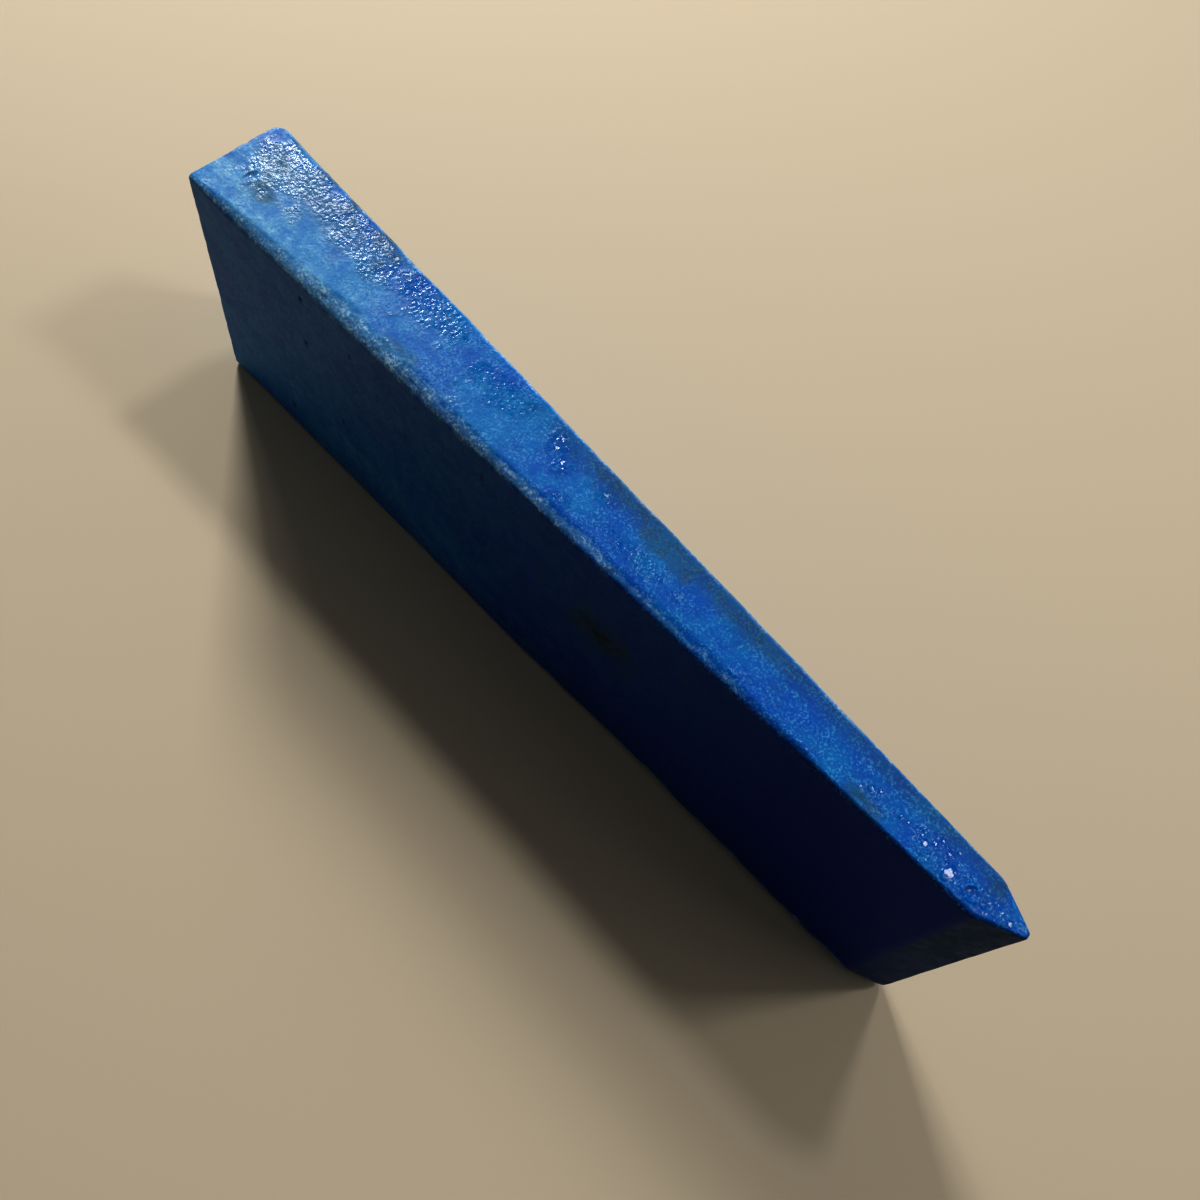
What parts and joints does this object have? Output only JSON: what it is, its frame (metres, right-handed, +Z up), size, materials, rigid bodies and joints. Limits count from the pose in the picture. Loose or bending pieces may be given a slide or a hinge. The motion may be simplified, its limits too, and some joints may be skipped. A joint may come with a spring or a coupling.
{
  "type": "steel prying wedge",
  "caption": "Solid forged steel prying wedge, tapered in thickness from a flat butt to a short double-bevelled chisel edge, worn edges, coated in gloss blue enamel.",
  "frame": {"origin": "on the ground, in the middle of the box round the wedge, which stands on its lower narrow edge", "axes": "+X along the length from the butt towards the cutting edge, +Y across the thickness between the two broad cheeks, +Z up"},
  "size_m": [0.2, 0.0232, 0.0619],
  "materials": {
    "blue_enamel_steel": "gloss"
  },
  "bodies": {
    "root": {"wedge_body": "blue_enamel_steel"}
  },
  "joints": []
}
